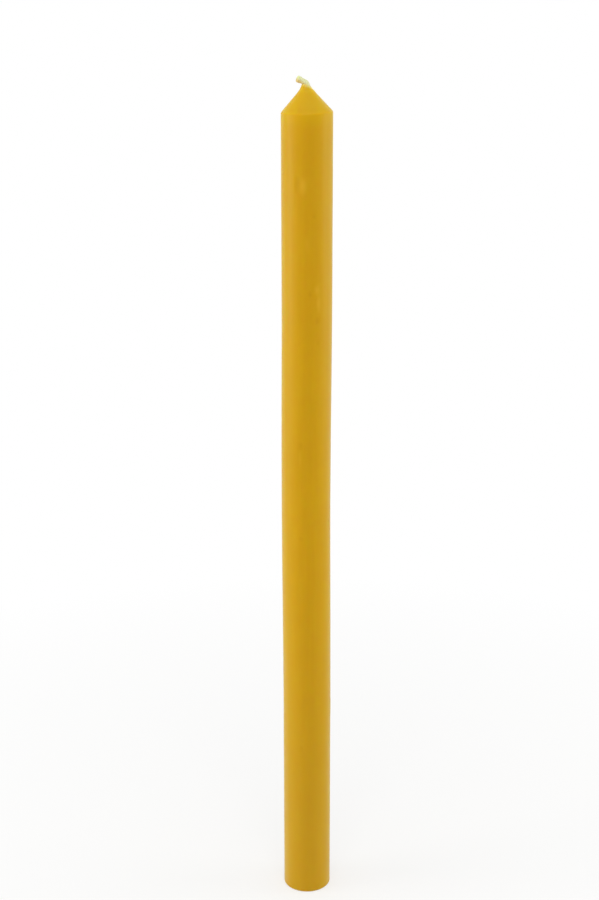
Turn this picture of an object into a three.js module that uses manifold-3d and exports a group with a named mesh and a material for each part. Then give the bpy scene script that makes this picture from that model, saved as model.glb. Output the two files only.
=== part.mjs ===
// A straight dinner candle of beeswax: a solid wax rod with a conical tip, and one wick through its
// whole length. Millimetres, +Z up. The origin is the centre of the flat foot, and the wick's free end
// bends over towards -X.

import * as THREE from "three";
import { mergeVertices, toCreasedNormals } from "three/addons/utils/BufferGeometryUtils.js";
import Module from "manifold-3d";

const wasm = await Module();
wasm.setup();

// Wax body
const bodyDiameter = 22; // fits the usual 22 mm candle socket
const bodyLength = 366.8; // from the foot to the shoulder
const coneHeight = 12.2; // from the shoulder to where the cone's sides would meet
const shoulderBlend = 0.5; // from the shoulder's corner to where its rounding starts
const footChamfer = 0.6;
const crownWall = 0.35; // wax round the wick's channel at the top
const crownRise = 0.75; // how far the wax climbs up the wick above the cone, on the axis
const crownSlant = 17; // degrees: the wax stands higher on the side to which the wick bends
const crownFoot = 1.5; // how far outside the crown that climb begins

// Wick
const wickDiameter = 2.4;
const wickClearance = 0.25; // between the wick and its channel, all round
const wickRecess = 0.8; // the wick is cut this far above the foot
const wickFlare = 0.12; // how much further out the braid opens at its cut end
const wickFlareLength = 2;

// The wick's free end, as it was bent by hand: how far its middle line leans sideways and how high it is
// above the middle of the crown, point by point. It is straight up to the first point.
const wickLean = [
  [0, -6],
  [0, -4],
  [0, -2],
  [0.02, -1],
  [-0.07, 0],
  [-0.72, 0.93],
  [-2.13, 1.69],
  [-3.86, 2.7],
];

// How finely the round shapes are divided
const bodySides = 96;
const wickSides = 24;
const curvePoints = 10; // on each rounded stretch of the wax body's outline
const bendRings = 40; // along the wick's bent stretch
const cutAllowance = 1; // how far a shape runs past the face that cuts it, or that it cuts
const mergeDistance = 1e-3; // vertices nearer than this are one
const creaseAngle = 30; // degrees: flatter edges are shaded smooth

const bodyRadius = bodyDiameter / 2;
const wickRadius = wickDiameter / 2;
const channelRadius = wickRadius + wickClearance;
const crownRadius = channelRadius + crownWall;
const crownHeight = coneSide(crownRadius) + crownRise;

// Height of the cone's side at a distance from the axis.
function coneSide(radius) {
  return bodyLength + coneHeight * (1 - radius / bodyRadius);
}

// A closed solid of revolution about Z, from an outline of (radius, height) points that starts and ends
// on the axis.
function turned(outline, sides) {
  return new THREE.LatheGeometry(outline, sides).rotateX(Math.PI / 2);
}

function waxOutline() {
  const slope = Math.atan2(coneHeight, bodyRadius);
  const slantReach = crownRadius * Math.tan(THREE.MathUtils.degToRad(crownSlant));
  const outline = new THREE.Path();
  outline.moveTo(0, 0);
  outline.lineTo(bodyRadius - footChamfer, 0);
  outline.lineTo(bodyRadius, footChamfer);
  outline.lineTo(bodyRadius, bodyLength - shoulderBlend);
  outline.quadraticCurveTo(
    bodyRadius,
    bodyLength,
    bodyRadius - shoulderBlend * Math.cos(slope),
    bodyLength + shoulderBlend * Math.sin(slope),
  );
  outline.lineTo(crownRadius + crownFoot, coneSide(crownRadius + crownFoot));
  outline.quadraticCurveTo(crownRadius, coneSide(crownRadius), crownRadius, crownHeight);
  outline.lineTo(crownRadius, crownHeight + slantReach + cutAllowance);
  outline.lineTo(0, crownHeight + slantReach + cutAllowance);
  return outline.getPoints(curvePoints);
}

// The wick's middle line, from the foot's plane up the axis and over to the side. It lies in the XZ plane.
function wickLine() {
  const bend = wickLean.map(([lean, rise]) => new THREE.Vector3(lean, 0, crownHeight + rise));
  const line = new THREE.CurvePath();
  line.add(new THREE.LineCurve3(new THREE.Vector3(), bend[0]));
  line.add(new THREE.CatmullRomCurve3(bend));
  return line;
}

// Bends a shape that stands along Z so that its axis follows a line in the XZ plane. Past either end it
// goes on straight.
function bentAlong(line, geometry) {
  const length = line.getLength();
  const position = geometry.getAttribute("position");
  for (let i = 0; i < position.count; i++) {
    const height = position.getZ(i);
    const along = THREE.MathUtils.clamp(height, 0, length);
    const middle = line.getPoint(along / length);
    const ahead = line.getTangent(along / length);
    const across = position.getX(i);
    position.setX(i, middle.x + ahead.x * (height - along) + ahead.z * across);
    position.setZ(i, middle.z + ahead.z * (height - along) - ahead.x * across);
  }
  return geometry;
}

// Outline of a straight rod between two heights, with rings from where the line bends. widening is how
// much its radius grows at a height.
function rodOutline(line, radius, bottom, top, widening = () => 0) {
  const bendStart = line.curves[0].getLength();
  const outline = [new THREE.Vector2(0, bottom), new THREE.Vector2(radius, bottom)];
  for (let i = 0; i <= bendRings; i++) {
    const height = THREE.MathUtils.lerp(bendStart, top, i / bendRings);
    outline.push(new THREE.Vector2(radius + widening(height), height));
  }
  outline.push(new THREE.Vector2(0, top));
  return outline;
}

function solid(geometry) {
  const bare = geometry.toNonIndexed();
  bare.deleteAttribute("normal");
  bare.deleteAttribute("uv");
  const merged = mergeVertices(bare, mergeDistance);
  return new wasm.Manifold(
    new wasm.Mesh({
      numProp: 3,
      vertProperties: merged.getAttribute("position").array,
      triVerts: new Uint32Array(merged.index.array),
    }),
  );
}

function geometryOf(manifold) {
  const { vertProperties, triVerts } = manifold.getMesh();
  const geometry = new THREE.BufferGeometry();
  geometry.setAttribute("position", new THREE.BufferAttribute(vertProperties, 3));
  geometry.setIndex(new THREE.BufferAttribute(triVerts, 1));
  return toCreasedNormals(geometry, THREE.MathUtils.degToRad(creaseAngle));
}

// Everything above the crown's slanted top, to take off the wax.
function aboveCrown() {
  const side = 2 * (crownRadius + cutAllowance);
  const block = new THREE.BoxGeometry(side, side, side).translate(0, 0, side / 2);
  return block.rotateY(THREE.MathUtils.degToRad(crownSlant)).translate(0, 0, crownHeight);
}

function waxBody(line) {
  const channel = rodOutline(line, channelRadius, -cutAllowance, line.getLength() + cutAllowance);
  const wax = solid(turned(waxOutline(), bodySides))
    .subtract(solid(aboveCrown()))
    .subtract(solid(bentAlong(line, turned(channel, wickSides))));
  return geometryOf(wax);
}

function wick(line) {
  const top = line.getLength();
  const flare = (height) => wickFlare * THREE.MathUtils.smoothstep(height, top - wickFlareLength, top);
  return bentAlong(line, turned(rodOutline(line, wickRadius, wickRecess, top, flare), wickSides));
}

const beeswax = new THREE.MeshStandardMaterial({ color: "#cd9d1c", roughness: 0.42, metalness: 0 });
const waxedCotton = new THREE.MeshStandardMaterial({ color: "#e6dcae", roughness: 0.75, metalness: 0 });

function piece(name, geometry, material) {
  const mesh = new THREE.Mesh(geometry, material);
  mesh.name = name;
  return mesh;
}

const middleLine = wickLine();
const candle = new THREE.Group();
candle.name = "beeswax_candle";
candle.add(piece("wax_body", waxBody(middleLine), beeswax));
candle.add(piece("wick", wick(middleLine), waxedCotton));

export default candle;
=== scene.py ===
# A straight dinner candle of beeswax with one braided cotton wick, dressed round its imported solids.
# Metres, +Z up. The candle's foot stands at the origin, and the front is the side towards -Y.

import math
import random

import bmesh
import bpy
from mathutils import Matrix, Vector


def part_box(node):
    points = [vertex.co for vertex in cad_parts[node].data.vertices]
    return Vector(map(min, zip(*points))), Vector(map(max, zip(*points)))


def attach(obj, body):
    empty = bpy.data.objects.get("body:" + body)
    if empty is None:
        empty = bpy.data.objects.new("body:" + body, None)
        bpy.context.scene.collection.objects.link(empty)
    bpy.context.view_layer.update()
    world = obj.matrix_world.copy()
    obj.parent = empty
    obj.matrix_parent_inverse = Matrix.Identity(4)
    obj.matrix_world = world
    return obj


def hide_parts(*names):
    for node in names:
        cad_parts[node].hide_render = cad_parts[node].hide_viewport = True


MM = 0.001

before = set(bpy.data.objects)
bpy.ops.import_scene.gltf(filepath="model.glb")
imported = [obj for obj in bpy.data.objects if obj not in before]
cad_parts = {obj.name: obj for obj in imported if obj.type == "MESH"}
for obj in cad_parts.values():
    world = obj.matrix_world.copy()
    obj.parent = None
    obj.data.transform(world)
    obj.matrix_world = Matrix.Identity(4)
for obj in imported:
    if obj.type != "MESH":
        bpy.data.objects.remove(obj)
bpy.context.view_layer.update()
wax_low, wax_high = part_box("wax_body")
wick_low, wick_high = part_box("wick")

# The wax rod and its cone
BODY_RADIUS = wax_high.x
WAX_ABOVE_SHOULDER = 11.5 * MM
SHOULDER = wax_high.z - WAX_ABOVE_SHOULDER  # height of the edge between the rod and its cone
CONE_HEIGHT = 12.2 * MM  # from the shoulder to where the cone's sides would meet
CONE_RINGS = [9 * MM, 7 * MM, 5.2 * MM, 4 * MM]
BODY_SIDES = 144
BODY_BANDS = 8  # one subdivide makes 100 cuts at most, so bands come first, and then rings in them
RINGS_IN_BAND = 60
RING_HEIGHT = SHOULDER / (BODY_BANDS * RINGS_IN_BAND)
SHOULDER_ROUNDING = 0.5 * MM
FOOT_ROUNDING = 0.7 * MM
ROUNDING_STEPS = 5
NEAR = 0.01 * MM  # places nearer to each other than this are taken as one
WAX_CREASE = math.radians(35)  # edges that turn less than this are shaded smooth

# The crown, which is the wax that climbs up the wick. Each ring: its radius, how far its middle lies
# sideways of the cone's axis, its height above the shoulder, and the degrees by which it stands higher
# on the side of -X.
CROWN_RINGS = [
    (3.24 * MM, 0, 8.74 * MM, 0),
    (2.86 * MM, 0, 9.15 * MM, 1),
    (2.6 * MM, -0.04 * MM, 9.56 * MM, 2),
    (2.36 * MM, -0.02 * MM, 9.95 * MM, 4),
    (2.13 * MM, 0, 10.32 * MM, 6),
    (1.93 * MM, -0.05 * MM, 10.66 * MM, 8),
    (1.72 * MM, -0.12 * MM, 10.93 * MM, 9),
    (1.57 * MM, -0.11 * MM, 11.1 * MM, 10),
    (1.44 * MM, -0.07 * MM, 11.21 * MM, 10),
    (1.33 * MM, -0.03 * MM, 11.28 * MM, 10),
    (1.22 * MM, 0.01 * MM, 11.32 * MM, 10),
    (1.08 * MM, 0.04 * MM, 11.28 * MM, 10),
    (0.95 * MM, 0.05 * MM, 11 * MM, 10),
]
CROWN_REACH = 4.4 * MM  # edges up the crown are rounded within this distance of the axis
CROWN_STEP = 0.05 * MM  # and where they come nearer to the axis by more than this
CROWN_CUTS = 2
CHANNEL_RADIUS = 0.95 * MM  # inside the wick's outer side, so that the wax fills the braid's grooves
CHANNEL_MARGIN = 1.05  # beyond so many times the channel's radius is the crown's skin

# What handwork left: the tip leans, the rod bows, and its skin is faintly wavy
TIP_LEAN = math.radians(1.4)
BOW = 0.44 * MM
BOW_HEIGHT = 196.5 * MM
BOW_REACH = 103 * MM
WAVE_WIDTH = 9 * MM
WAVE_STRETCH = 4  # how much longer than wide a wave is
WAVE_HEIGHT = 0.04 * MM
WAVES_ABOVE_FOOT = 4 * MM  # where the waves begin
WAVES_BELOW_SHOULDER = 2 * MM
WAVE_FADE = 6 * MM  # the stretch in which they reach their full height
CROWN_WAVE_WIDTH = 1.3 * MM
CROWN_WAVE_HEIGHT = 0.09 * MM
CROWN_WAVE_FADE = 1 * MM

# Marks in the wax: height, degrees round from the front, half length, reach sideways, depth (negative
# where the wax is raised), and how much paler (or darker, where negative) its surface is painted: a
# painted highlight on each raised mark and painted shade in each dent
MARKS = [
    (337.0 * MM, -8.5, 3.1 * MM, 2.2 * MM, -0.12 * MM, 1.0),
    (338.4 * MM, -21.5, 2.8 * MM, 1.6 * MM, 0.16 * MM, -0.65),
    (324.4 * MM, 15.4, 0.3 * MM, 0.9 * MM, 0.12 * MM, -0.7),
    (312.5 * MM, 0, 3.0 * MM, 1.7 * MM, -0.05 * MM, 0.4),
    (293.0 * MM, 21.5, 1.5 * MM, 1.6 * MM, -0.1 * MM, 0.8),
    (291.2 * MM, 6.5, 0.8 * MM, 1.0 * MM, 0.1 * MM, -0.65),
    (287.0 * MM, 25.7, 2.8 * MM, 1.5 * MM, -0.1 * MM, 0.8),
    (279.6 * MM, 23.6, 1.0 * MM, 1.3 * MM, 0.08 * MM, -0.6),
    (269.7 * MM, 25.7, 0.5 * MM, 1.1 * MM, 0.08 * MM, -0.5),
    (224.0 * MM, -14, 1.2 * MM, 1.3 * MM, 0.12 * MM, -0.6),
    (218.0 * MM, -16.3, 4.5 * MM, 0.9 * MM, -0.05 * MM, 0.5),
    (180.6 * MM, -14.2, 0.3 * MM, 1.4 * MM, 0.1 * MM, -0.55),
    (76.4 * MM, -13.5, 0.8 * MM, 1.2 * MM, 0.1 * MM, -0.45),
    (257.0 * MM, 118, 4.0 * MM, 2.4 * MM, 0.1 * MM, -0.5),
    (145.0 * MM, -124, 2.0 * MM, 1.8 * MM, -0.12 * MM, 0.7),
    (312.0 * MM, 171, 0, 1.0 * MM, 0.12 * MM, -0.6),
    (94.0 * MM, 84, 3.0 * MM, 2.2 * MM, -0.08 * MM, 0.6),
]
MARK_SHADING_SHARE = 0.25  # share of the painted highlight or painted shade in the strongest mark
TOOL_MARGIN = 1.2  # the tool that presses marks in takes half a step of the mesh, and a fifth more

# Where the wax changes its colour: from one height above the shoulder to another, how much, and towards
# which colour. It is duller towards the foot. Under the shoulder a painted glow stands in for the light
# that the cone takes in, and the cone has a tone of its own. The cone's top and the thin crown are
# painted lighter and yellower, for the light that shines through thin wax.
WAX_BY_HEIGHT = [
    (-200 * MM, -320 * MM, 0.6, "#c1961a"),
    (-14 * MM, -1 * MM, 1, "#cea00a"),
    (-6 * MM, -1 * MM, 1, "#cfa60b"),
    (-0.5 * MM, 1 * MM, 1, "#cda402"),
    (7.5 * MM, 9.8 * MM, 1, "#d0ad12"),
]

# Patterns in the wax, by the size of their marks
STREAK_WIDTH = 1.4286 * MM
STREAK_STRETCH = 20  # how much longer than wide a streak is
CLOUD_WIDTH = 16.667 * MM
GRAIN_WIDTH = 0.3125 * MM  # the real grain is about 0.03 mm, and is drawn as coarse as it needs to show
GRAIN_HEIGHT = 0.05 * MM

# How far light goes into the wax, and into the thin crown, and the heights above the shoulder between
# which the one turns into the other
LIGHT_DEPTH = 3 * MM
THIN_LIGHT_DEPTH = 0.6 * MM
THINNER = (9.5 * MM, 11.2 * MM)

# The heights between which the crown is painted paler, on the side of +X first: painted light on the
# thin crown
CROWN_HIGHLIGHT = (9.6 * MM, 11.5 * MM)
CROWN_HIGHLIGHT_SLOPE = 0.35

# The bloom, which is fainter on the cone. It changes from this far under the shoulder to as far above it.
BLOOM_EDGE = 1 * MM

# The wick: twelve flat strands, six laid each way round a core
WICK_RADIUS = 1.24 * MM
STRAND_WIDTH = 0.98 * MM
STRAND_THICKNESS = 0.44 * MM
STRAND_SIDES = 16
STRANDS_EACH_WAY = 6
INTERLEAVED = math.pi / STRANDS_EACH_WAY / 2  # the turn midway between the strands laid the other way
SWING = 0.06 * MM  # how far out and in a strand moves as it passes over and under the others
LAY = 7.4 * MM  # the height in which a strand goes once round
STEPS_PER_LAY = 48
ENDS_APART = 0.05 * MM  # between the lower ends of the strands laid one way and the other
ENDS_UNEVEN = 0.03 * MM  # how far up or down a strand's ends lie from the others laid its way
CORE_RADIUS = 1.13 * MM  # the wax that fills the braid and its grooves
CORE_SIDES = 24
CORE_RINGS = 60  # where the core has to bend
CORE_RECESS = 0.13 * MM  # from the cut end down to the wax between the yarns
FOOT_RECESS = 0.1 * MM  # from the wick's lower end up to that wax
BRAID_IN_WAX = 6 * MM  # how far the braid goes into the wax; a plain rod fills the rest of the channel
ROD_OVERLAP = 1.8 * MM  # how far that rod goes into the braid
WICK_CREASE = math.radians(40)

# The braid's inner yarns, which show at the cut end, and how much they differ from even places
YARN_RADIUS = 0.31 * MM
YARN_RING = 0.56 * MM
YARNS_IN_RING = 6
YARN_LENGTH = 1.5 * MM  # the stretch of them that is made; the rest is hidden
YARN_CUTS = 8
YARN_TURN = 0.12  # as a share of the turn from one to the next
YARN_OUT = (0.92, 1.06)  # as a share of their ring's radius
YARN_RISE = (-0.08 * MM, 0.04 * MM)

# The cut end
FLARE = 1.24
FLARE_REACH = 2 * MM
FLARE_END = 0.1 * MM  # the stretch at the very end that opens most
CUT_SLANT = math.radians(18)  # the wick is cut so that its upper side is the longer one
CUT_ROUNDING = 0.14 * MM  # how far each strand's end stands out from its last full section
CUT_RINGS = [(0.7, 0.9), (0.3, 0.7), (0, 0.6), (0, 0.4)]  # share of that, and of the last ring's width
END_DOME = 0.6 * MM  # how far the middle of the cut end stands out, where the yarn has spread
END_DOME_MIDDLE = CORE_RADIUS / 4
END_DOME_REACH = 1.55 * MM
SHORTENING = 0.33 * MM  # from the end of the wick's line back to where that dome starts

# Its threads, for the pattern along each strand
PLY_WIDTH = STRAND_WIDTH / 3
THREAD_WIDTH = 0.09 * MM
THREAD_DEPTH = 0.225 * MM
THREAD_STRETCH = 12  # how much longer than wide a thread's marks are
THREAD_HEIGHT = 0.04 * MM
BANDS_IN_WAVE = 20 / (2 * math.pi)  # a Wave texture of scale 1 has so many bands in a metre

# Its colours, by the distance from the wick's axis and by the height above the shoulder
GROOVE = 1.12 * MM
CREST = 1.2 * MM
CUT = 1.5 * MM  # the distance that the cut end is given, to tell it from the rest
SOAKED_UP_TO = 10.5 * MM
PALE_FROM = 11.7 * MM
PALE_SLOPE = 0.6  # it turns pale on the side of +X first

# The wick's middle line from inside the wax on: sideways lean, and height above the shoulder
WICK_BEND = [
    (0, 4.9 * MM),
    (0, 6.9 * MM),
    (0.02 * MM, 8.9 * MM),
    (0.07 * MM, 9.9 * MM),
    (0.1 * MM, 10.9 * MM),
    (-0.45 * MM, 11.82 * MM),
    (-2.1 * MM, 12.67 * MM),
    (-3.87 * MM, 13.49 * MM),
]
PATH_STEPS = 32  # between two of these points

# The camera looks down a little on the tip, and the foot is in the frame
FOCAL_LENGTH = 61.97
SENSOR_LONG_SIDE = 36
CAMERA_PITCH = math.radians(-17.0)
CAMERA_ROLL = math.radians(-0.09)
CAMERA_PLACE = (-3.33 * MM, -660.9 * MM, SHOULDER + 54.2 * MM)

# The studio: soft boxes (place, width, height, watts), all aimed at the candle's middle, and light from
# all round
AIM = Vector((0, 0, 200 * MM))
SOFT_BOXES = {
    "left_soft_box": ((-0.935, -0.165, 0.29), 0.45, 0.56, 3.2),
    "right_soft_box": ((0.95, 0, 0.29), 0.45, 0.56, 2.2),
    "front_soft_box": ((0, -0.9, 1.2), 0.8, 0.6, 4.4),
    "top_soft_box": ((0, -0.1, 1.35), 1.0, 1.0, 2.3),
}
ROOM_LIGHT = 0.634

# The floor, and the distances from the foot between which the candle's shadow on it fades out
FLOOR_RADIUS = 12
FLOOR_SIDES = 96
SHADOW_NEAR = 0.05
SHADOW_FAR = 0.4
WHITE_NEAR = 0.6  # share of plain white in what the camera sees of the floor at the foot


def linear(hex_colour):
    """An sRGB colour such as "#d8a028" as linear red, green, blue and alpha."""
    channels = [int(hex_colour[i:i + 2], 16) / 255 for i in (1, 3, 5)]
    return [c / 12.92 if c <= 0.04045 else ((c + 0.055) / 1.055) ** 2.4 for c in channels] + [1]


def begin(piece):
    """Goes into edit mode on one piece, with nothing selected."""
    bpy.ops.object.select_all(action="DESELECT")
    bpy.context.view_layer.objects.active = piece
    piece.select_set(True)
    bpy.ops.object.mode_set(mode="EDIT")
    bpy.ops.mesh.select_all(action="DESELECT")


def finish_editing():
    """Turns the piece's faces outwards and leaves edit mode."""
    bpy.ops.mesh.select_all(action="SELECT")
    bpy.ops.mesh.normals_make_consistent(inside=False)
    bpy.ops.object.mode_set(mode="OBJECT")


def pick(kind, test):
    """Selects the vertices, edges or faces of the edited piece that pass a test, and nothing else."""
    bpy.ops.mesh.select_mode(type={"verts": "VERT", "edges": "EDGE", "faces": "FACE"}[kind])
    bpy.ops.mesh.select_all(action="DESELECT")
    mesh = bpy.context.object.data
    shape = bmesh.from_edit_mesh(mesh)
    for element in getattr(shape, kind):
        element.select = test(element)
    shape.select_flush_mode()
    bmesh.update_edit_mesh(mesh)


def settle(piece):
    """Puts a piece's place, turn and size into its mesh."""
    bpy.ops.object.select_all(action="DESELECT")
    bpy.context.view_layer.objects.active = piece
    piece.select_set(True)
    bpy.ops.object.transform_apply(location=True, rotation=True, scale=True)


def apply_modifiers(piece):
    bpy.context.view_layer.update()
    bpy.context.view_layer.objects.active = piece
    for modifier in list(piece.modifiers):
        bpy.ops.object.modifier_apply(modifier=modifier.name)


def upright_cylinder(radius, bottom, top, sides):
    bpy.ops.object.select_all(action="DESELECT")
    bpy.ops.mesh.primitive_cylinder_add(
        vertices=sides, radius=radius, depth=top - bottom, location=(0, 0, (top + bottom) / 2)
    )
    settle(bpy.context.object)
    return bpy.context.object


def cone_side(radius):
    """Height of the cone's side above the shoulder, at a distance from its axis."""
    return CONE_HEIGHT * (1 - radius / BODY_RADIUS)


def is_long_side(edge, least):
    return abs(edge.verts[0].co.z - edge.verts[1].co.z) > least


def is_outside(v):
    """True for the rod's outer side, and false for the wick's channel."""
    return v.co.xy.length > BODY_RADIUS / 2


def make_wax():
    wax = upright_cylinder(BODY_RADIUS, 0, SHOULDER, BODY_SIDES)
    wax.name = "beeswax_rod"
    begin(wax)
    raise_cone()
    smooth_crown()
    bore_channel()
    round_rim(SHOULDER, SHOULDER_ROUNDING)
    round_rim(0, FOOT_ROUNDING)
    lean_tip()
    divide_rod(SHOULDER, BODY_BANDS)
    divide_rod(SHOULDER / BODY_BANDS, RINGS_IN_BAND)
    for *mark, _ in MARKS:
        press(*mark)
    bow_rod()
    finish_editing()
    note_marks(wax)
    wave_surface(wax)
    bpy.ops.object.shade_smooth_by_angle(angle=WAX_CREASE)
    return wax


def divide_rod(length, count):
    """Divides the rod's sides of about a length into a number of rings."""
    pick("edges", lambda edge: is_long_side(edge, length / 2) and is_outside(edge.verts[0]))
    bpy.ops.mesh.subdivide(number_cuts=count - 1)


def raise_cone():
    """Draws the rod's top face up ring by ring, to the cone and the crown."""
    rings = [(radius, 0, cone_side(radius), 0) for radius in CONE_RINGS] + CROWN_RINGS
    radius_before, sideways_before, height_before, slant_before = BODY_RADIUS, 0, 0, 0
    pick("faces", lambda face: len(face.verts) > 4 and face.calc_center_median().z > SHOULDER / 2)
    for radius, sideways, height, slant in rings:
        bpy.ops.mesh.extrude_region_move(
            TRANSFORM_OT_translate={"value": (sideways - sideways_before, 0, height - height_before)}
        )
        middle = (sideways, 0, SHOULDER + height)
        size = radius / radius_before
        bpy.ops.transform.resize(value=(size, size, size), center_override=middle)
        if slant != slant_before:
            bpy.ops.transform.rotate(
                value=-math.radians(slant - slant_before), orient_axis="Y", center_override=middle
            )
        radius_before, sideways_before, height_before, slant_before = radius, sideways, height, slant


def smooth_crown():
    """Rounds the crown between its rings."""
    def is_up_the_crown(edge):
        inner, outer = sorted(v.co.xy.length for v in edge.verts)
        return outer < CROWN_REACH and outer - inner > CROWN_STEP

    pick("edges", is_up_the_crown)
    bpy.ops.mesh.subdivide(number_cuts=CROWN_CUTS, smoothness=1)


def bore_channel():
    """Opens the wick's channel from the foot to the crown."""
    pick("faces", lambda face: len(face.verts) > 4 and face.calc_center_median().z < MM)
    bpy.ops.mesh.inset(thickness=BODY_RADIUS - CHANNEL_RADIUS)
    pick("faces", lambda face: len(face.verts) > 4)
    bpy.ops.mesh.bridge_edge_loops()


def round_rim(height, rounding):
    """Rounds the edge that runs round the rod at a height."""
    def is_on_rim(v):
        return abs(v.co.z - height) < NEAR and abs(v.co.xy.length - BODY_RADIUS) < NEAR

    pick("edges", lambda edge: all(is_on_rim(v) for v in edge.verts))
    bpy.ops.mesh.bevel(offset=rounding, segments=ROUNDING_STEPS, profile=0.5)


def press(height, degrees, half_length, reach, depth):
    """Presses a shallow mark into the rod, or raises one where the depth is negative."""
    turn = math.radians(degrees)
    outward = Vector((math.sin(turn), -math.cos(turn), 0))
    half_side = math.pi * BODY_RADIUS / BODY_SIDES

    def is_under_the_tool(v):
        aside = (v.co.xy - outward.xy * BODY_RADIUS).length
        along = abs(v.co.z - height) - half_length
        return aside <= half_side * TOOL_MARGIN and along <= RING_HEIGHT / 2 * TOOL_MARGIN

    pick("verts", is_under_the_tool)
    bpy.ops.transform.translate(
        value=-outward * depth,
        use_proportional_edit=True,
        proportional_edit_falloff="SMOOTH",
        proportional_size=reach,
    )


def note_marks(wax):
    """Keeps for each vertex how much paler or darker the wax is painted there, as the light and shade of
    the marks.
    """
    painted_shading = wax.data.attributes.new("mark", "FLOAT", "POINT")
    for height, degrees, half_length, reach, _, tone in MARKS:
        turn = math.radians(degrees)
        middle = Vector((math.sin(turn), -math.cos(turn))) * BODY_RADIUS
        for v in wax.data.vertices:
            along = (v.co.z - height) / (half_length + reach)
            if abs(along) < 1:
                away = math.hypot(along, (v.co.xy - middle).length / reach)
                if away < 1:
                    painted_shading.data[v.index].value += tone * (1 - away ** 2) ** 2


def lean_tip():
    pick("verts", lambda v: v.co.z > SHOULDER - 2 * SHOULDER_ROUNDING)
    bpy.ops.transform.rotate(value=TIP_LEAN, orient_axis="Y", center_override=(0, 0, SHOULDER))


def bow_rod():
    pick("verts", lambda v: abs(v.co.z - BOW_HEIGHT) < RING_HEIGHT / 2 and is_outside(v))
    bpy.ops.transform.translate(
        value=(-BOW, 0, 0),
        use_proportional_edit=True,
        proportional_edit_falloff="SMOOTH",
        proportional_size=BOW_REACH,
    )


def wave_surface(wax):
    """Gives the rod the faint long waves of wax that has set, and makes the crown a little uneven."""
    rod = wax.vertex_groups.new(name="rod")
    crown = wax.vertex_groups.new(name="crown")
    crown_foot = SHOULDER + CROWN_RINGS[0][2]
    for v in wax.data.vertices:
        inside = min(v.co.z - WAVES_ABOVE_FOOT, SHOULDER - WAVES_BELOW_SHOULDER - v.co.z) / WAVE_FADE
        if inside > 0 and is_outside(v):
            rod.add([v.index], min(inside, 1), "REPLACE")
        if v.co.z > crown_foot and v.co.xy.length > CHANNEL_RADIUS * CHANNEL_MARGIN:
            crown.add([v.index], min(1, (v.co.z - crown_foot) / CROWN_WAVE_FADE), "REPLACE")
    stretch = bpy.data.objects.new("wave_stretch", None)
    bpy.context.collection.objects.link(stretch)
    stretch.scale = (1, 1, WAVE_STRETCH)
    for group, width, strength in (
        ("rod", WAVE_WIDTH, 2 * WAVE_HEIGHT),
        ("crown", CROWN_WAVE_WIDTH, 2 * CROWN_WAVE_HEIGHT),
    ):
        waves = bpy.data.textures.new(group + "_waves", "CLOUDS")
        waves.noise_scale = width
        waves.noise_depth = 1
        displace = wax.modifiers.new(group + "_waves", "DISPLACE")
        displace.texture = waves
        displace.texture_coords = "OBJECT"
        displace.texture_coords_object = stretch
        displace.vertex_group = group
        displace.strength = strength
        displace.mid_level = 0.5
    apply_modifiers(wax)
    wax.vertex_groups.clear()
    bpy.data.objects.remove(stretch)


def wick_path():
    """The wick's middle line as a curve: straight up the candle's axis, then over to the side."""
    data = bpy.data.curves.new("wick_path", "CURVE")
    data.dimensions = "3D"
    data.resolution_u = PATH_STEPS
    data.twist_mode = "Z_UP"
    spline = data.splines.new("BEZIER")
    points = [(0, 0, 0)] + [(lean, 0, SHOULDER + rise) for lean, rise in WICK_BEND]
    spline.bezier_points.add(len(points) - 1)
    for knot, point in zip(spline.bezier_points, points):
        knot.co = point
        knot.handle_left_type = knot.handle_right_type = "AUTO"
    for knot in spline.bezier_points[:2]:
        knot.handle_left_type = knot.handle_right_type = "VECTOR"
    path = bpy.data.objects.new("wick_path", data)
    bpy.context.collection.objects.link(path)
    return path, spline.calc_length()


def strand_turn(height, top):
    """How far round the wick the first strand is at a height. At the top the ends lie side by side."""
    return 2 * math.pi * (height - top) / LAY + INTERLEAVED


def strand_radius(turn, hand):
    """Distance of a strand's middle from the wick's axis, where it passes over or under the others."""
    middle = WICK_RADIUS - STRAND_THICKNESS / 2 - SWING
    return middle + hand * SWING * math.cos(STRANDS_EACH_WAY * turn)


def strand_section(radius, height):
    """A flat section that hugs the wick's core, on the side of +X."""
    bpy.ops.object.select_all(action="DESELECT")
    bpy.ops.mesh.primitive_circle_add(
        vertices=STRAND_SIDES, radius=STRAND_WIDTH / 2, fill_type="NGON", location=(radius, 0, height)
    )
    strand = bpy.context.object
    settle(strand)
    begin(strand)
    bpy.ops.mesh.select_all(action="SELECT")
    flatness = STRAND_THICKNESS / STRAND_WIDTH
    bpy.ops.transform.resize(value=(flatness, 1, 1), center_override=(radius, 0, height))
    shape = bmesh.from_edit_mesh(strand.data)
    for aside in sorted({round(abs(v.co.y) / MM, 3) * MM for v in shape.verts}):
        pick("verts", lambda v: abs(abs(v.co.y) - aside) < NEAR)
        drop = radius - math.sqrt(radius ** 2 - aside ** 2)
        bpy.ops.transform.translate(value=(-drop, 0, 0))
    return strand


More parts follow.
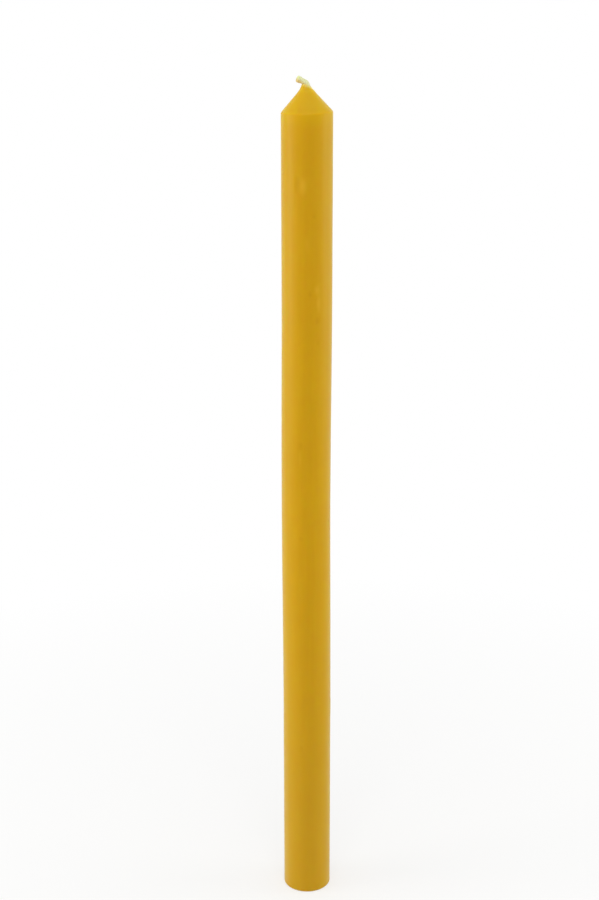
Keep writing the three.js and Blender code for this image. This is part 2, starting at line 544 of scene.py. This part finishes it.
def lay_strand(hand, bottom, top):
    """One strand of the braid, over one and under one of those laid the other way."""
    turn = strand_turn(bottom, top)
    strand = strand_section(strand_radius(turn, hand), bottom)
    bpy.ops.mesh.select_all(action="SELECT")
    bpy.ops.transform.rotate(value=-hand * turn, orient_axis="Z", center_override=(0, 0, bottom))
    steps = round((top - bottom) / LAY * STEPS_PER_LAY)
    rise = (top - bottom) / steps
    step_turn = 2 * math.pi * rise / LAY
    for step in range(1, steps + 1):
        before = strand_radius(turn, hand)
        turn += step_turn
        bpy.ops.mesh.extrude_region_move(TRANSFORM_OT_translate={"value": (0, 0, rise)})
        bpy.ops.transform.rotate(
            value=-hand * step_turn, orient_axis="Z", center_override=(0, 0, bottom + step * rise)
        )
        outward = Vector((math.cos(hand * turn), math.sin(hand * turn), 0))
        bpy.ops.transform.translate(value=outward * (strand_radius(turn, hand) - before))
    round_end(outward * strand_radius(turn, hand), top)
    finish_editing()
    note_yarn(strand, hand, top)
    return strand


def round_end(middle, height):
    """Domes the cut end of a strand or a yarn, with rings that let it bulge."""
    for rise, size in CUT_RINGS:
        bpy.ops.mesh.extrude_region_move(TRANSFORM_OT_translate={"value": (0, 0, CUT_ROUNDING * rise)})
        bpy.ops.transform.resize(value=(size, size, 1), center_override=(middle.x, middle.y, height))


def note_yarn(strand, hand, top):
    """Keeps for each corner of a face how far it is to the side of its strand's middle, from the wick's
    axis, and along the strand. The cut end has a distance of its own, and its threads are seen end on."""
    yarn = strand.data.attributes.new("yarn", "FLOAT_VECTOR", "CORNER")
    for face in strand.data.polygons:
        is_cut = face.center.z > top
        for corner, index in zip(face.loop_indices, face.vertices):
            place = strand.data.vertices[index].co
            if is_cut:
                yarn.data[corner].vector = (place.x, CUT, place.y * THREAD_STRETCH)
            elif hand == 0:
                yarn.data[corner].vector = (place.x, place.xy.length, place.z)
            else:
                middle = hand * strand_turn(place.z, top)
                aside = (math.atan2(place.y, place.x) - middle + math.pi) % (2 * math.pi) - math.pi
                yarn.data[corner].vector = (aside * WICK_RADIUS, place.xy.length, place.z)


def copy_turned(piece, turn):
    """A copy of a piece with its own mesh, turned round the wick's axis."""
    twin = piece.copy()
    twin.data = piece.data.copy()
    bpy.context.collection.objects.link(twin)
    twin.data.transform(Matrix.Rotation(turn, 4, "Z"))
    return twin


def braid(bottom, top):
    strands = []
    chance = random.Random(5)
    for hand, lift in ((1, 0), (-1, ENDS_APART)):
        strand = lay_strand(hand, bottom + lift, top)
        strands.append(strand)
        for i in range(1, STRANDS_EACH_WAY):
            twin = copy_turned(strand, 2 * math.pi * i / STRANDS_EACH_WAY)
            twin.data.transform(Matrix.Translation((0, 0, chance.uniform(-1, 1) * ENDS_UNEVEN)))
            strands.append(twin)
    return strands


def core(radius, bottom, top, rings=0):
    """What fills the braid, with rings where it has to bend and a domed top."""
    piece = upright_cylinder(radius, bottom, top, CORE_SIDES)
    begin(piece)
    if rings:
        pick("edges", lambda edge: is_long_side(edge, (top - bottom) / 2))
        bpy.ops.mesh.subdivide(number_cuts=rings)
    middle = (top + bottom) / 2
    pick("faces", lambda face: len(face.verts) > 4 and face.calc_center_median().z > middle)
    round_end(Vector((0, 0)), top)
    finish_editing()
    note_yarn(piece, 0, top)
    return piece


def inner_yarns(top):
    """The ends of the yarns inside the braid: one in the middle and a ring round it."""
    middle = core(YARN_RADIUS, top - YARN_LENGTH, top, rings=YARN_CUTS)
    yarns = [middle]
    chance = random.Random(3)
    for i in range(YARNS_IN_RING):
        yarn = copy_turned(middle, 0)
        turn = 2 * math.pi * (i + chance.uniform(-YARN_TURN, YARN_TURN)) / YARNS_IN_RING
        out = YARN_RING * chance.uniform(*YARN_OUT)
        place = (out * math.cos(turn), out * math.sin(turn), chance.uniform(*YARN_RISE))
        yarn.data.transform(Matrix.Translation(place))
        yarns.append(yarn)
    return yarns


def shape_cut_end(wick, top):
    """Opens the braid at its cut end, lets its middle stand out, and slants the cut."""
    begin(wick)
    pick("verts", lambda v: v.co.z > top - FLARE_END)
    bpy.ops.transform.resize(
        value=(FLARE, FLARE, 1),
        center_override=(0, 0, top),
        use_proportional_edit=True,
        proportional_edit_falloff="SMOOTH",
        proportional_size=FLARE_REACH,
    )
    pick("verts", lambda v: v.co.z > top and v.co.xy.length < END_DOME_MIDDLE)
    bpy.ops.transform.translate(
        value=(0, 0, END_DOME),
        use_proportional_edit=True,
        proportional_edit_falloff="INVERSE_SQUARE",
        proportional_size=END_DOME_REACH,
    )
    pick("verts", lambda v: v.co.z > top)
    bpy.ops.transform.rotate(
        value=-CUT_SLANT,
        orient_axis="Y",
        center_override=(0, 0, top),
        use_proportional_edit=True,
        proportional_edit_falloff="SMOOTH",
        proportional_size=FLARE_REACH,
    )
    bpy.ops.object.mode_set(mode="OBJECT")


def make_wick():
    """Makes the wick upright, its hidden stretch as a plain rod, and bends it along its middle line."""
    path, length = wick_path()
    top = length - SHORTENING
    foot = wick_low.z
    braid_again = SHOULDER + WICK_BEND[0][1] - BRAID_IN_WAX / 2
    parts = braid(foot, foot + BRAID_IN_WAX)
    parts += braid(braid_again, top)
    parts.append(core(CORE_RADIUS, foot + FOOT_RECESS, foot + BRAID_IN_WAX))
    parts.append(core(CHANNEL_RADIUS, foot + BRAID_IN_WAX - ROD_OVERLAP, braid_again + ROD_OVERLAP))
    parts.append(core(CORE_RADIUS, braid_again, top - CORE_RECESS, rings=CORE_RINGS))
    parts += inner_yarns(top)
    bpy.ops.object.select_all(action="DESELECT")
    for part in parts:
        part.select_set(True)
    wick = parts[0]
    bpy.context.view_layer.objects.active = wick
    bpy.ops.object.join()
    wick.name = "braided_wick"
    shape_cut_end(wick, top)
    follow = wick.modifiers.new("bend", "CURVE")
    follow.object = path
    follow.deform_axis = "POS_Z"
    apply_modifiers(wick)
    bpy.data.objects.remove(path)
    bpy.ops.object.shade_smooth_by_angle(angle=WICK_CREASE)
    return wick


def give_inputs(tree, node, inputs):
    """Sets a node's inputs by name or number. A socket is linked, and anything else is a plain value."""
    for key, value in inputs.items():
        if isinstance(value, bpy.types.NodeSocket):
            tree.links.new(value, node.inputs[key])
        else:
            node.inputs[key].default_value = value


def add_node(tree, kind, inputs=None, **settings):
    node = tree.nodes.new("ShaderNode" + kind)
    for key, value in settings.items():
        setattr(node, key, value)
    give_inputs(tree, node, inputs or {})
    return node


def new_material(name):
    """A material with only its Principled shader and its output."""
    material = bpy.data.materials.new(name)
    material.use_nodes = True
    return material, material.node_tree, material.node_tree.nodes["Principled BSDF"]


def beeswax():
    """Beeswax, drawn and cooled: a warm gold that light goes into, with a satin skin, faint lengthwise
    streaks and a trace of the pale bloom that it gets with time, which shows at its edges."""
    material, tree, shader = new_material("beeswax")
    place = add_node(tree, "TexCoord").outputs["Object"]
    height = add_node(tree, "SeparateXYZ", {0: place}).outputs["Z"]
    lengthwise = add_node(tree, "Mapping", {
        "Vector": place, "Scale": (1, 1, 1 / STREAK_STRETCH),
    }).outputs[0]
    streaks = add_node(tree, "TexNoise", {
        "Vector": lengthwise, "Scale": 1 / STREAK_WIDTH, "Detail": 3, "Roughness": 0.55,
    }).outputs[0]
    clouds = add_node(tree, "TexNoise", {
        "Vector": place, "Scale": 1 / CLOUD_WIDTH, "Detail": 3, "Roughness": 0.5,
    }).outputs[0]
    grain = add_node(tree, "TexNoise", {
        "Vector": place, "Scale": 1 / GRAIN_WIDTH, "Detail": 2, "Roughness": 0.6,
    }).outputs[0]
    climb = add_node(tree, "VectorMath", {0: place, 1: (CROWN_HIGHLIGHT_SLOPE, 0, 1)}, operation="DOT_PRODUCT")
    mark = add_node(tree, "Attribute", attribute_name="mark").outputs["Fac"]

    # Its colours, each laid over those before it: where each one lies, and the colour
    cloudy = add_node(tree, "MapRange", {"Value": clouds, "From Min": 0.3, "From Max": 0.7})
    streaked = add_node(tree, "MapRange", {
        "Value": streaks, "From Min": 0.4, "From Max": 0.8, "To Max": 0.25,
    })
    layers = [(cloudy, "#cb9e0d"), (streaked, "#d3a80e")]
    # painted glow under the shoulder, and painted light in the cone's top and the thin crown
    for start, end, most, tone in WAX_BY_HEIGHT:
        at_height = add_node(tree, "MapRange", {
            "Value": height, "From Min": SHOULDER + start, "From Max": SHOULDER + end, "To Max": most,
        })
        layers.append((at_height, tone))
    # painted light: the crown turns pale cream, on its side of +X first
    paler = add_node(tree, "MapRange", {
        "Value": climb.outputs["Value"], "From Min": SHOULDER + CROWN_HIGHLIGHT[0], "From Max": SHOULDER + CROWN_HIGHLIGHT[1],
    }, interpolation_type="SMOOTHSTEP")
    layers.append((paler, "#decb86"))
    # the marks' painted highlights and painted shade
    for strongest, tone in ((1, "#e7b73a"), (-1, "#a77700")):
        mark_shading = add_node(tree, "MapRange", {"Value": mark, "From Max": strongest, "To Max": MARK_SHADING_SHARE})
        layers.append((mark_shading, tone))
    colour = linear("#c99b0a")
    for share, tone in layers:
        colour = add_node(tree, "Mix", {
            0: share.outputs[0], 6: colour, 7: linear(tone),
        }, data_type="RGBA").outputs[2]

    depth = add_node(tree, "MapRange", {
        "Value": height, "From Min": SHOULDER + THINNER[0], "From Max": SHOULDER + THINNER[1],
        "To Min": LIGHT_DEPTH, "To Max": THIN_LIGHT_DEPTH,
    })
    rough = add_node(tree, "MapRange", {
        "Value": clouds, "From Min": 0.3, "From Max": 0.7, "To Min": 0.36, "To Max": 0.44,
    })
    bloom = add_node(tree, "MapRange", {
        "Value": height, "From Min": SHOULDER - BLOOM_EDGE, "From Max": SHOULDER + BLOOM_EDGE,
        "To Min": 0.2, "To Max": 0.08,
    })
    relief = add_node(tree, "Math", {0: streaks, 1: 0.5, 2: grain}, operation="MULTIPLY_ADD")
    bump = add_node(tree, "Bump", {
        "Height": relief.outputs[0], "Strength": 0.1, "Distance": GRAIN_HEIGHT,
    })
    give_inputs(tree, shader, {
        "Base Color": colour,
        "Roughness": rough.outputs[0],
        "Normal": bump.outputs[0],
        "IOR": 1.44,
        "Specular IOR Level": 0.14,
        "Sheen Weight": bloom.outputs[0],
        "Sheen Tint": linear("#d8ffd0"),
        "Sheen Roughness": 0.4,
        "Subsurface Weight": 1,
        "Subsurface Radius": (1, 0.5, 0.12),
        "Subsurface Scale": depth.outputs[0],
    })
    return material


def waxed_cotton():
    """Braided cotton soaked with beeswax: fine pale yarn with a soft fuzz, yellower in its grooves,
    greenish at its cut end, and golden where it leaves the candle."""
    material, tree, shader = new_material("waxed_cotton")
    place = add_node(tree, "TexCoord").outputs["Object"]
    yarn = add_node(tree, "Attribute", attribute_name="yarn").outputs["Vector"]
    out = add_node(tree, "SeparateXYZ", {0: yarn}).outputs["Y"]
    threads = add_node(tree, "Mapping", {
        "Vector": yarn, "Scale": (1 / THREAD_WIDTH, 1 / THREAD_DEPTH, 1 / THREAD_WIDTH / THREAD_STRETCH),
    }).outputs[0]
    fibre = add_node(tree, "TexNoise", {
        "Vector": threads, "Scale": 1, "Detail": 3, "Roughness": 0.6,
    }).outputs[0]
    plies = add_node(tree, "TexWave", {
        "Vector": yarn, "Scale": 1 / BANDS_IN_WAVE / PLY_WIDTH,
    }, wave_type="BANDS").outputs[1]

    crest = add_node(tree, "MapRange", {"Value": out, "From Min": GROOVE, "From Max": CREST}).outputs[0]
    cut = add_node(tree, "MapRange", {"Value": out, "From Min": CREST, "From Max": CUT}).outputs[0]
    climb = add_node(tree, "VectorMath", {0: place, 1: (PALE_SLOPE, 0, 1)}, operation="DOT_PRODUCT")
    bare = add_node(tree, "MapRange", {
        "Value": climb.outputs["Value"],
        "From Min": SHOULDER + SOAKED_UP_TO, "From Max": SHOULDER + PALE_FROM,
    }).outputs[0]
    colour = add_node(tree, "Mix", {
        0: fibre, 6: linear("#dadca9"), 7: linear("#e5e8be"),
    }, data_type="RGBA").outputs[2]
    colour = add_node(tree, "Mix", {
        0: crest, 6: linear("#d6d59b"), 7: colour,
    }, data_type="RGBA").outputs[2]
    colour = add_node(tree, "Mix", {
        0: cut, 6: colour, 7: linear("#d9dd9b"),
    }, data_type="RGBA").outputs[2]
    colour = add_node(tree, "Mix", {
        0: bare, 6: linear("#dcc07a"), 7: colour,
    }, data_type="RGBA").outputs[2]

    relief = add_node(tree, "Math", {0: plies, 1: 0.7, 2: fibre}, operation="MULTIPLY_ADD")
    bump = add_node(tree, "Bump", {
        "Height": relief.outputs[0], "Strength": 0.8, "Distance": THREAD_HEIGHT,
    })
    give_inputs(tree, shader, {
        "Base Color": colour,
        "Normal": bump.outputs[0],
        "Roughness": 0.65,
        "IOR": 1.46,
        "Specular IOR Level": 0.2,
        "Sheen Weight": 0.25,
        "Sheen Tint": linear("#f0ffe8"),
        "Sheen Roughness": 0.5,
    })
    return material


def seen_or_mirrored(tree):
    """1 for rays from the camera, from a gloss or through glass, and 0 for rays that light the object."""
    rays = add_node(tree, "LightPath").outputs
    either = rays["Is Camera Ray"]
    for kind in ("Is Glossy Ray", "Is Transmission Ray"):
        either = add_node(tree, "Math", {0: either, 1: rays[kind]}, operation="MAXIMUM").outputs[0]
    return either


def white_board():
    """Matt white board, so pale that it runs into the background, with only the candle's shadow on it."""
    material, tree, shader = new_material("white_board")
    place = add_node(tree, "TexCoord").outputs["Object"]
    reach = add_node(tree, "VectorMath", {0: place}, operation="LENGTH")
    far = add_node(tree, "MapRange", {
        "Value": reach.outputs["Value"],
        "From Min": SHADOW_NEAR, "From Max": SHADOW_FAR, "To Min": WHITE_NEAR,
    })
    share = add_node(tree, "Math", {0: seen_or_mirrored(tree), 1: far.outputs[0]}, operation="MULTIPLY")
    glow = add_node(tree, "Emission", {"Color": (1, 1, 1, 1), "Strength": 1})
    blend = add_node(tree, "MixShader", {0: share.outputs[0], 1: shader.outputs[0], 2: glow.outputs[0]})
    give_inputs(tree, shader, {
        "Base Color": linear("#f2f2f0"),
        "Roughness": 0.9,
        "Specular IOR Level": 0.2,
    })
    give_inputs(tree, tree.nodes["Material Output"], {"Surface": blend.outputs[0]})
    return material


def make_floor():
    bpy.ops.object.select_all(action="DESELECT")
    bpy.ops.mesh.primitive_circle_add(
        vertices=FLOOR_SIDES, radius=FLOOR_RADIUS, fill_type="NGON", location=(0, 0, 0)
    )
    floor = bpy.context.object
    floor.name = "floor"
    floor.data.materials.append(white_board())


def make_lights():
    for name, (place, width, height, watts) in SOFT_BOXES.items():
        lamp = bpy.data.lights.new(name, "AREA")
        lamp.shape = "RECTANGLE"
        lamp.size = width
        lamp.size_y = height
        lamp.energy = watts
        light = bpy.data.objects.new(name, lamp)
        bpy.context.collection.objects.link(light)
        light.location = place
        light.rotation_euler = (AIM - Vector(place)).to_track_quat("-Z", "Y").to_euler()
    world = bpy.data.worlds.new("studio")
    world.use_nodes = True
    bpy.context.scene.world = world
    tree = world.node_tree
    level = add_node(tree, "MapRange", {"Value": seen_or_mirrored(tree), "To Min": ROOM_LIGHT})
    give_inputs(tree, tree.nodes["Background"], {"Color": (1, 1, 1, 1), "Strength": level.outputs[0]})


def make_camera():
    lens = bpy.data.cameras.new("camera")
    lens.lens = FOCAL_LENGTH
    lens.sensor_width = SENSOR_LONG_SIDE
    camera = bpy.data.objects.new("camera", lens)
    bpy.context.collection.objects.link(camera)
    camera.matrix_world = (
        Matrix.Translation(CAMERA_PLACE)
        @ Matrix.Rotation(math.radians(90) + CAMERA_PITCH, 4, "X")
        @ Matrix.Rotation(CAMERA_ROLL, 4, "Z")
    )
    bpy.context.scene.camera = camera


make_camera()
make_lights()
make_floor()

wax = make_wax()
wax.data.materials.append(beeswax())
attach(wax, "root")
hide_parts("wax_body")

wick = make_wick()
wick.data.materials.append(waxed_cotton())
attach(wick, "root")
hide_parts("wick")

bpy.context.scene.view_settings.view_transform = "Standard"
